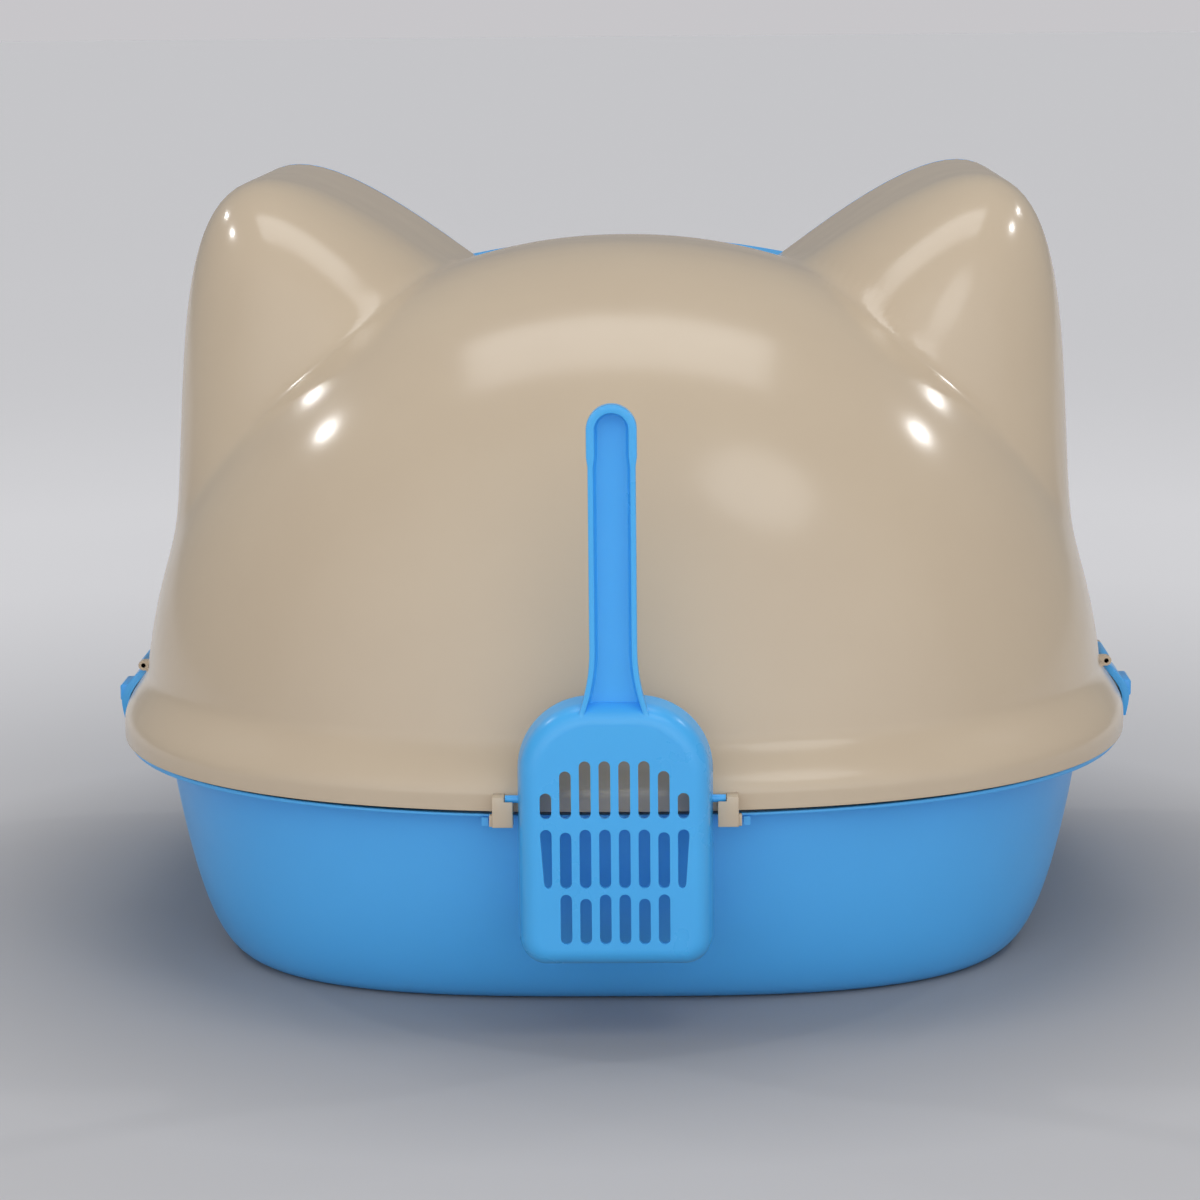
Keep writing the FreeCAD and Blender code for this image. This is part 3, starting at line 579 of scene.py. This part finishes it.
# ---- Front panel ---------------------------------------------------------------------
# A blue face plate pressed into the hood's open front.  A collar behind it plugs into the
# hood, its top edge shows as a low arch between the ears, and a lip frames the entrance.
panel_blue = moulded_plastic("panel_blue", (0.066, 0.40, 0.86), (0.076, 0.43, 0.92), 0.3, 0.03)
panel = soften("front_panel", "face_plate", panel_blue, 0.0006, 1.0)
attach(panel, "hood")

# ---- Flap door and its wire ------------------------------------------------------------
# A clear flap with a moulded pull near its foot, hung on a steel wire through its barrel.
flap_clear, flap_tree, flap_shader, flap_add = node_material("flap_clear")
flap_place = flap_add("ShaderNodeTexCoord")
uneven_gloss((flap_tree, flap_shader, flap_add), flap_place, 40.0, 0.12, 0.3)
flap_shader.inputs["Base Color"].default_value = (0.72, 0.82, 0.9, 1)
flap_shader.inputs["Alpha"].default_value = 0.5
flap = soften("flap_door", "door_flap", flap_clear, 0.0004)
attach(flap, "flap")

wire_steel, wire_tree, wire_shader, wire_add = node_material("wire_steel")
wire_place = wire_add("ShaderNodeTexCoord")
uneven_gloss((wire_tree, wire_shader, wire_add), wire_place, 400.0, 0.2, 0.4)
wire_shader.inputs["Base Color"].default_value = (0.6, 0.6, 0.62, 1)
wire_shader.inputs["Metallic"].default_value = 1.0
for node in ("flap_rod", "latch_pin_left", "latch_pin_right"):
    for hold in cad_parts[node].material_slots:
        hold.material = wire_steel

# ---- Side latches ------------------------------------------------------------------------
# Thin blue plates that lie on the hood's shoulder, hinged on a pin at the top.  A square
# finger knob stands on each and the foot grips the tray's rim.
latch_blue = moulded_plastic("latch_blue", (0.066, 0.40, 0.86), (0.078, 0.44, 0.92), 0.28, 0.02)
for side in ("left", "right"):
    latch = soften("latch_" + side, "side_latch_" + side, latch_blue, 0.0004, 1.0)
    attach(latch, side + "_latch")

# ---- Scoop -----------------------------------------------------------------------------------
# A one-piece litter scoop in a brighter blue.  The blade is a shallow rounded pan with three
# rows of sieve slots, and the handle is a U-channel that flares into the blade's top.
scoop_low, scoop_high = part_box("scoop")
scoop_wall = 0.0022
scoop_half = 0.0448
scoop_foot = scoop_low[2]
blade_top = 0.1582
blade_rim_y, blade_face_y = scoop_low[1], scoop_high[1]
handle_half, handle_top = 0.0108, scoop_high[2]
shoulder_round, foot_round = 0.034, 0.013


def blade_outline(inset):
    """Rounded outline of the blade, the same number of points for every inset."""
    half, low, high = scoop_half - inset, scoop_foot + inset, blade_top - inset
    top_r, low_r = shoulder_round - inset * 0.8, max(foot_round - inset * 0.8, 0.003)
    corners = ((half - top_r, high - top_r, top_r, 0), (-half + top_r, high - top_r, top_r, 90),
               (-half + low_r, low + low_r, low_r, 180), (half - low_r, low + low_r, low_r, 270))
    points = []
    for x, z, r, start in corners:
        for k in range(17):
            a = math.radians(start + 90 * k / 16)
            points.append((x + r * math.cos(a), z + r * math.sin(a)))
    spaced = []
    for k, (x, z) in enumerate(points):
        spaced.append((x, z))
        if k % 17 == 16:
            nx, nz = points[(k + 1) % len(points)]
            spaced += [(x + (nx - x) * s / 12, z + (nz - z) * s / 12) for s in range(1, 12)]
    return spaced


# rings of the pan from its rim: a drafted side, a rolled corner and a flat border of the face
side_draft, side_tall, corner_roll, face_border, roll_steps = 0.0010, 0.0095, 0.0095, 0.0006, 9
roll_start_y = blade_rim_y + side_tall
blade_rings = [(0.0, blade_rim_y), (0.0004, blade_rim_y + 0.005), (side_draft, roll_start_y)]
for k in range(1, roll_steps + 1):
    turn = math.radians(90 * k / roll_steps)
    blade_rings.append((side_draft + (corner_roll - side_draft) * (1 - math.cos(turn)),
                        roll_start_y + (blade_face_y - roll_start_y) * math.sin(turn)))
blade_rings.append((corner_roll + face_border, blade_face_y))
blade_form = bmesh.new()
rings = [[blade_form.verts.new((x, y, z)) for x, z in blade_outline(inset)] for inset, y in blade_rings]
count = len(rings[0])
for ring, following in zip(rings, rings[1:]):
    for k in range(count):
        blade_form.faces.new((ring[k], ring[(k + 1) % count], following[(k + 1) % count], following[k]))
blade_form.faces.new(rings[-1])
scoop = new_piece("litter_scoop", blade_form)
face_outwards(scoop, (0, blade_face_y, 0.1), (0, 1, 0))
blade_solid = scoop.modifiers.new("wall", "SOLIDIFY")
blade_solid.thickness = scoop_wall
blade_solid.offset = -1
apply_all(scoop)

# handle: a ring of section points for each step of the U-shaped path over its top
handle_foot = blade_top - 0.012
handle_floor_y, handle_rim_y = blade_face_y - 0.012, blade_face_y - 0.0015
rim_wide = 0.0026
flare_top, flare_tall, flare_out = 0.182, 0.032, 0.0062


def handle_width(z):
    t = min(1.0, max(0.0, (flare_top - z) / flare_tall))
    return handle_half + flare_out * t * t


path = []
straight = np.linspace(handle_foot, handle_top - handle_half, 34)
for z in straight:
    path.append((0.0, z, 1.0, 0.0, handle_width(z)))
for k in range(1, 24):
    a = math.pi * k / 24
    path.append((0.0, handle_top - handle_half, math.cos(a), math.sin(a), handle_half))
for z in straight[::-1]:
    path.append((0.0, z, -1.0, 0.0, handle_width(z)))
handle_form = bmesh.new()
handle_rings = []
for x, z, dx, dz, wide in path:
    lip = 0.0006 * min(1.0, max(0.0, (z - handle_top + 0.026) / 0.002))
    w = wide + lip
    inner = wide - rim_wide - lip
    section = [(0.0, handle_floor_y), (w - 0.003, handle_floor_y), (w - 0.0009, handle_floor_y + 0.0009),
               (w, handle_floor_y + 0.003), (w, handle_rim_y - 0.0007), (w - 0.0002, handle_rim_y - 0.0002),
               (w - 0.0007, handle_rim_y), (inner + 0.0007, handle_rim_y),
               (inner + 0.0002, handle_rim_y - 0.0002), (inner, handle_rim_y - 0.0007),
               (inner - 0.0002, handle_floor_y + 0.0052), (inner - 0.0012, handle_floor_y + 0.0032),
               (inner - 0.0035, handle_floor_y + 0.0022), (0.0, handle_floor_y + 0.0020)]
    handle_rings.append([handle_form.verts.new((x + dx * o, y, z + dz * o)) for o, y in section])
for ring, following in zip(handle_rings, handle_rings[1:]):
    for k in range(len(ring) - 1):
        handle_form.faces.new((ring[k], ring[k + 1], following[k + 1], following[k]))
handle_form.faces.new(handle_rings[0])
handle_form.faces.new(handle_rings[-1])
bmesh.ops.remove_doubles(handle_form, verts=handle_form.verts, dist=0.00001)

# a round peg at each side of the blade's rim rests in the clips' notches
peg_radius, peg_root, peg_y, peg_z = 0.0018, 0.0433, blade_rim_y + 0.0025, 0.1103
peg_end = scoop_high[0]
for side in (1, -1):
    middle = (side * (peg_root + peg_end) / 2, peg_y, peg_z)
    turned = Matrix.Translation(middle) @ Matrix.Rotation(math.pi / 2, 4, "Y")
    bmesh.ops.create_cone(handle_form, cap_ends=True, segments=24, radius1=peg_radius,
                          radius2=peg_radius, depth=peg_end - peg_root, matrix=turned)
bmesh.ops.recalc_face_normals(handle_form, faces=handle_form.faces)
handle = new_piece("scoop_handle", handle_form)

# sieve slots: stadium-shaped cutters, one joined mesh
slot_wide, slot_pitch = 0.0053, 0.00895
slot_rows = ((0.1050, (0.1318, 0.1318, 0.1272, 0.1170)), (0.0726, (0.1001, 0.1001, 0.0988, 0.1001)),
             (0.0464, (0.0698, 0.0678, 0.0698)))
cutter_form = bmesh.new()
for row, (low, tops) in enumerate(slot_rows):
    for k, top in enumerate(tops):
        for sign in (1, -1):
            middle = sign * (k + 0.5) * slot_pitch
            taper = 0.0008 if row == 1 and k == 3 else 0.0
            r = slot_wide / 2
            outline = []
            for step in range(11):
                a = math.pi * step / 10
                outline.append((middle + r * math.cos(a), top - r + r * math.sin(a)))
            for step in range(11):
                a = math.pi + math.pi * step / 10
                shrink = r - taper
                outline.append((middle - sign * taper + shrink * math.cos(a), low + r + r * math.sin(a)))
            near = [cutter_form.verts.new((x, blade_face_y - 0.008, z)) for x, z in outline]
            far = [cutter_form.verts.new((x, blade_face_y + 0.004, z)) for x, z in outline]
            cutter_form.faces.new(near)
            cutter_form.faces.new(far[::-1])
            for step in range(len(outline)):
                after = (step + 1) % len(outline)
                cutter_form.faces.new((near[after], near[step], far[step], far[after]))
bmesh.ops.recalc_face_normals(cutter_form, faces=cutter_form.faces)
cutter = new_piece("slot_cutters", cutter_form)
for other, operation in ((handle, "UNION"), (cutter, "DIFFERENCE")):
    step = scoop.modifiers.new("shape", "BOOLEAN")
    step.object = other
    step.operation = operation
    step.solver = "EXACT"
    apply_all(scoop)
bpy.data.objects.remove(handle)
bpy.data.objects.remove(cutter)
scoop_blue = moulded_plastic("scoop_blue", (0.066, 0.45, 0.93), (0.078, 0.49, 0.985), 0.28, 0.02, 0.05)
scoop.data.materials.clear()
scoop.data.materials.append(scoop_blue)
scoop.data.shade_smooth()
scoop.data.set_sharp_from_angle(angle=math.radians(38))
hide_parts("scoop")
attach(scoop, "scoop")
